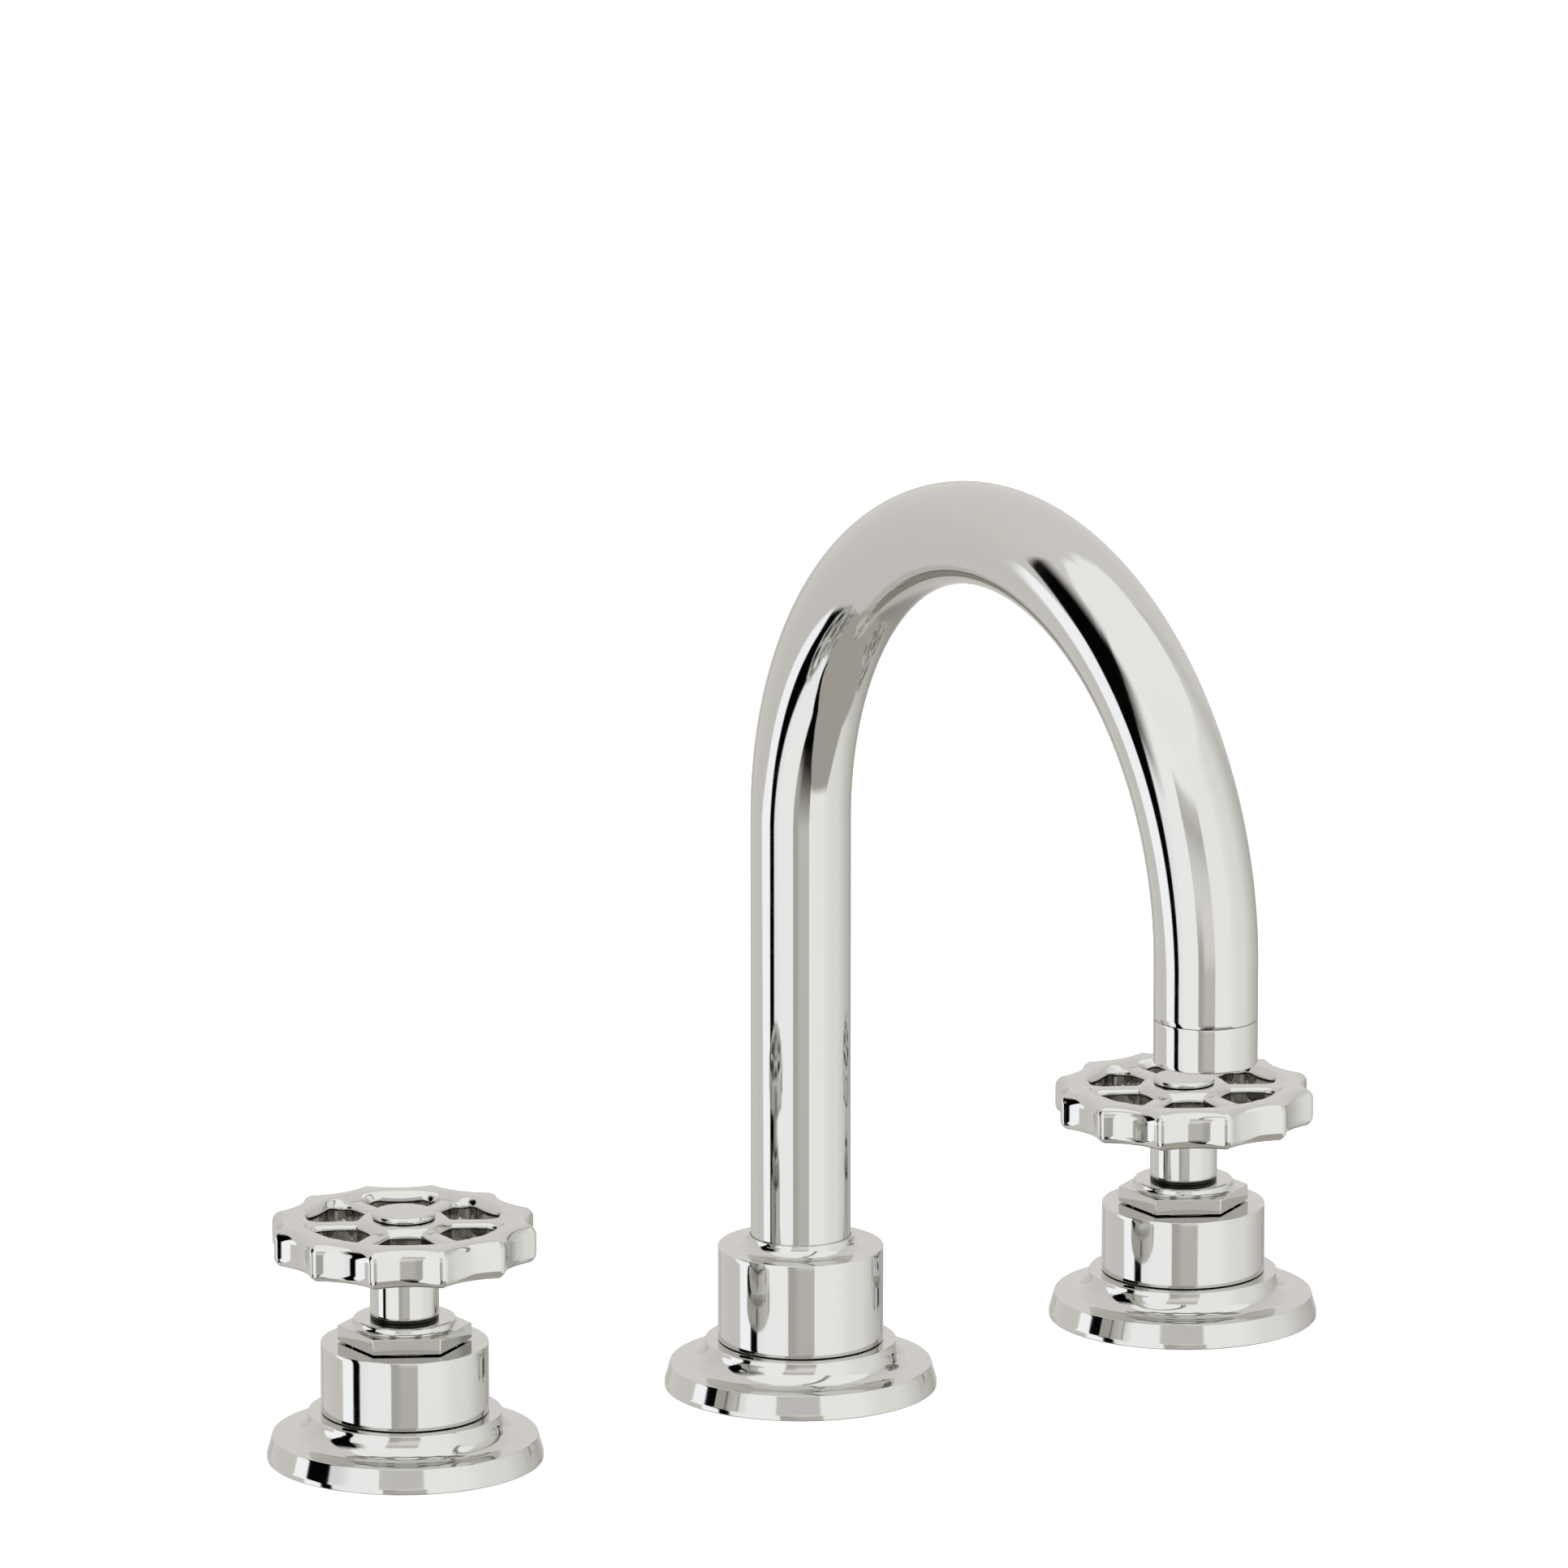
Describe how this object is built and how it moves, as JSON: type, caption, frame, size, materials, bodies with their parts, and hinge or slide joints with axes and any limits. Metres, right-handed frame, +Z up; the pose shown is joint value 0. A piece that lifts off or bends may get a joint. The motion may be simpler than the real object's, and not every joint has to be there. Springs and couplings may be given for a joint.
{
  "type": "widespread bathroom faucet",
  "caption": "Deck-mounted widespread bathroom faucet: high-arc swivel spout between hot and cold valves with lobed handwheels, round stepped flanges and threaded shanks.",
  "frame": {"origin": "centre of the spout's base on the deck's surface", "axes": "+X along the three holes from the hot to the cold valve, -Y towards the user and the outlet, +Z up"},
  "size_m": [0.2626, 0.1927, 0.2939],
  "materials": {
    "polished_nickel": "mirror polished plate",
    "machined_brass": "machined",
    "stainless_steel": "plain",
    "black_rubber": "matt",
    "black_plastic": "satin",
    "white_plastic": "matt",
    "ceramic": "lapped"
  },
  "bodies": {
    "root": {"hot_flange": "polished_nickel", "hot_flange_gasket": "black_rubber", "hot_mounting_nut": "machined_brass", "hot_deck_washer": "black_rubber", "hot_metal_washer": "stainless_steel", "hot_lock_nut": "machined_brass", "hot_hub": "polished_nickel", "hot_bonnet_nut": "polished_nickel", "hot_glide_bush": "black_plastic", "hot_valve_body": "machined_brass", "hot_cartridge_housing": "machined_brass", "hot_seat_seal": "black_rubber", "hot_spindle_o_ring": "black_rubber", "hot_lower_disc": "ceramic", "cold_flange": "polished_nickel", "cold_flange_gasket": "black_rubber", "cold_mounting_nut": "machined_brass", "cold_deck_washer": "black_rubber", "cold_metal_washer": "stainless_steel", "cold_lock_nut": "machined_brass", "cold_hub": "polished_nickel", "cold_bonnet_nut": "polished_nickel", "cold_glide_bush": "black_plastic", "cold_valve_body": "machined_brass", "cold_cartridge_housing": "machined_brass", "cold_seat_seal": "black_rubber", "cold_spindle_o_ring": "black_rubber", "cold_lower_disc": "ceramic", "spout_flange": "polished_nickel", "spout_flange_gasket": "black_rubber", "spout_mounting_nut": "machined_brass", "spout_deck_washer": "black_rubber", "spout_metal_washer": "stainless_steel", "spout_lock_nut": "machined_brass", "spout_shank": "machined_brass", "spout_glide_bush": "black_plastic", "spout_upper_o_ring": "black_rubber", "spout_lower_o_ring": "black_rubber", "tee": "machined_brass", "tee_nut": "machined_brass", "tee_washer": "black_rubber"},
    "hot_handle": {"hot_handwheel": "polished_nickel", "hot_cap": "polished_nickel", "hot_handle_screw": "stainless_steel", "hot_spindle": "machined_brass", "hot_upper_disc": "ceramic"},
    "cold_handle": {"cold_handwheel": "polished_nickel", "cold_cap": "polished_nickel", "cold_handle_screw": "stainless_steel", "cold_spindle": "machined_brass", "cold_upper_disc": "ceramic"},
    "spout": {"spout_tube": "polished_nickel", "spout_hub": "polished_nickel", "spout_set_screw": "stainless_steel", "aerator_housing": "polished_nickel", "aerator_insert": "white_plastic", "aerator_washer": "black_rubber"}
  },
  "joints": [
    {"name": "hot_handle_turn", "type": "hinge", "parent": "root", "child": "hot_handle", "pos_m": [-0.1016, 0, 0], "axis": [0, 0, 1], "range_deg": [0, 90]},
    {"name": "cold_handle_turn", "type": "hinge", "parent": "root", "child": "cold_handle", "pos_m": [0.1016, 0, 0], "axis": [0, 0, -1], "range_deg": [0, 90]},
    {"name": "spout_swivel", "type": "hinge", "parent": "root", "child": "spout", "pos_m": [0, 0, 0], "axis": [0, 0, 1], "range_deg": [-60, 60]}
  ]
}
